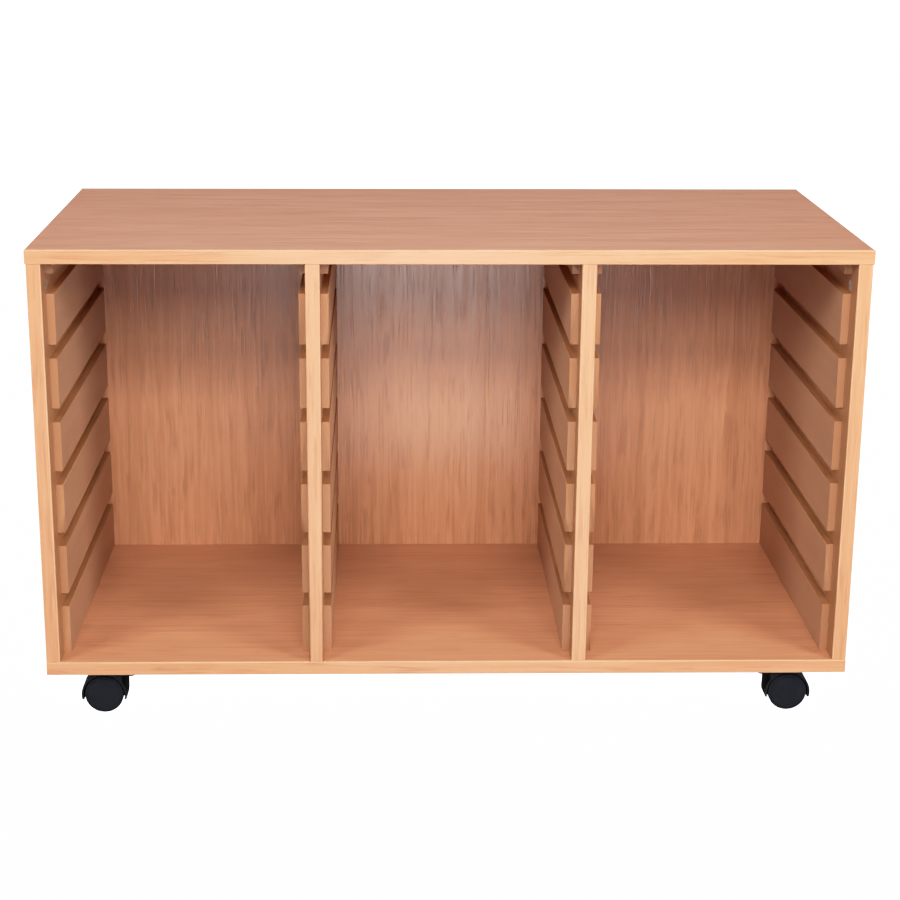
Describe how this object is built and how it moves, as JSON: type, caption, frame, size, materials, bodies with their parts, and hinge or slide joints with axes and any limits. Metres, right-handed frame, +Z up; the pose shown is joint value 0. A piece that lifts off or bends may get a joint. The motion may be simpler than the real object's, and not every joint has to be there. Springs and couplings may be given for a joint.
{
  "type": "mobile tray storage cabinet",
  "caption": "Low wheeled wooden cabinet with an open front, divided into bays whose grooved side runners take slide-in storage trays.",
  "frame": {"origin": "on the floor, under the middle of the cabinet", "axes": "+X to the right of someone facing the open front, -Y out of the open front, +Z up"},
  "size_m": [1.032, 0.451, 0.6155],
  "materials": {
    "board": "satin beech-effect melamine on both faces",
    "edging": "satin beech edging, lighter than the boards",
    "runner": "smooth satin beech-coloured strips",
    "dowel": "raw beech",
    "zinc": "dull die-cast zinc",
    "steel": "zinc-plated steel",
    "black_steel": "black painted steel",
    "hood_plastic": "satin black nylon",
    "wheel_plastic": "satin dark grey nylon"
  },
  "bodies": {
    "cabinet": {"top_panel": "board", "bottom_panel": "board", "left_side_panel": "board", "right_side_panel": "board", "left_divider": "board", "right_divider": "board", "back_panel": "board", "top_edging": "edging", "bottom_edging": "edging", "left_side_edging": "edging", "right_side_edging": "edging", "left_divider_edging": "edging", "right_divider_edging": "edging", "left_bay_left_runners": "runner", "left_bay_right_runners": "runner", "middle_bay_left_runners": "runner", "middle_bay_right_runners": "runner", "right_bay_left_runners": "runner", "right_bay_right_runners": "runner", "left_bay_left_head_strip": "runner", "left_bay_right_head_strip": "runner", "middle_bay_left_head_strip": "runner", "middle_bay_right_head_strip": "runner", "right_bay_left_head_strip": "runner", "right_bay_right_head_strip": "runner", "cams": "zinc", "cam_bolts": "steel", "dowels": "dowel", "front_left_castor_plate": "black_steel", "front_right_castor_plate": "black_steel", "rear_left_castor_plate": "black_steel", "rear_right_castor_plate": "black_steel", "castor_kingpins": "steel", "castor_thrust_washers": "steel", "castor_snap_rings": "steel", "castor_screws": "steel"},
    "front_left_castor_swivel": {"front_left_castor_hood": "hood_plastic", "front_left_castor_axle": "steel"},
    "front_left_castor_wheel_front": {"front_left_castor_wheel_front": "wheel_plastic"},
    "front_left_castor_wheel_back": {"front_left_castor_wheel_back": "wheel_plastic"},
    "front_right_castor_swivel": {"front_right_castor_hood": "hood_plastic", "front_right_castor_axle": "steel"},
    "front_right_castor_wheel_front": {"front_right_castor_wheel_front": "wheel_plastic"},
    "front_right_castor_wheel_back": {"front_right_castor_wheel_back": "wheel_plastic"},
    "rear_left_castor_swivel": {"rear_left_castor_hood": "hood_plastic", "rear_left_castor_axle": "steel"},
    "rear_left_castor_wheel_front": {"rear_left_castor_wheel_front": "wheel_plastic"},
    "rear_left_castor_wheel_back": {"rear_left_castor_wheel_back": "wheel_plastic"},
    "rear_right_castor_swivel": {"rear_right_castor_hood": "hood_plastic", "rear_right_castor_axle": "steel"},
    "rear_right_castor_wheel_front": {"rear_right_castor_wheel_front": "wheel_plastic"},
    "rear_right_castor_wheel_back": {"rear_right_castor_wheel_back": "wheel_plastic"}
  },
  "joints": [
    {"name": "front_left_castor_swivel", "type": "hinge", "parent": "cabinet", "child": "front_left_castor_swivel", "pos_m": [-0.4275, -0.1965, 0], "axis": [0, 0, 1], "continuous": true},
    {"name": "front_left_castor_wheel_front_spin", "type": "hinge", "parent": "front_left_castor_swivel", "child": "front_left_castor_wheel_front", "pos_m": [-0.445, -0.1965, 0.025], "axis": [0, 1, 0], "continuous": true},
    {"name": "front_left_castor_wheel_back_spin", "type": "hinge", "parent": "front_left_castor_swivel", "child": "front_left_castor_wheel_back", "pos_m": [-0.445, -0.1965, 0.025], "axis": [0, 1, 0], "continuous": true},
    {"name": "front_right_castor_swivel", "type": "hinge", "parent": "cabinet", "child": "front_right_castor_swivel", "pos_m": [0.4275, -0.1965, 0], "axis": [0, 0, 1], "continuous": true},
    {"name": "front_right_castor_wheel_front_spin", "type": "hinge", "parent": "front_right_castor_swivel", "child": "front_right_castor_wheel_front", "pos_m": [0.445, -0.1965, 0.025], "axis": [0, 1, 0], "continuous": true},
    {"name": "front_right_castor_wheel_back_spin", "type": "hinge", "parent": "front_right_castor_swivel", "child": "front_right_castor_wheel_back", "pos_m": [0.445, -0.1965, 0.025], "axis": [0, 1, 0], "continuous": true},
    {"name": "rear_left_castor_swivel", "type": "hinge", "parent": "cabinet", "child": "rear_left_castor_swivel", "pos_m": [-0.4275, 0.1975, 0], "axis": [0, 0, 1], "continuous": true},
    {"name": "rear_left_castor_wheel_front_spin", "type": "hinge", "parent": "rear_left_castor_swivel", "child": "rear_left_castor_wheel_front", "pos_m": [-0.445, 0.1975, 0.025], "axis": [0, 1, 0], "continuous": true},
    {"name": "rear_left_castor_wheel_back_spin", "type": "hinge", "parent": "rear_left_castor_swivel", "child": "rear_left_castor_wheel_back", "pos_m": [-0.445, 0.1975, 0.025], "axis": [0, 1, 0], "continuous": true},
    {"name": "rear_right_castor_swivel", "type": "hinge", "parent": "cabinet", "child": "rear_right_castor_swivel", "pos_m": [0.4275, 0.1975, 0], "axis": [0, 0, 1], "continuous": true},
    {"name": "rear_right_castor_wheel_front_spin", "type": "hinge", "parent": "rear_right_castor_swivel", "child": "rear_right_castor_wheel_front", "pos_m": [0.445, 0.1975, 0.025], "axis": [0, 1, 0], "continuous": true},
    {"name": "rear_right_castor_wheel_back_spin", "type": "hinge", "parent": "rear_right_castor_swivel", "child": "rear_right_castor_wheel_back", "pos_m": [0.445, 0.1975, 0.025], "axis": [0, 1, 0], "continuous": true}
  ]
}
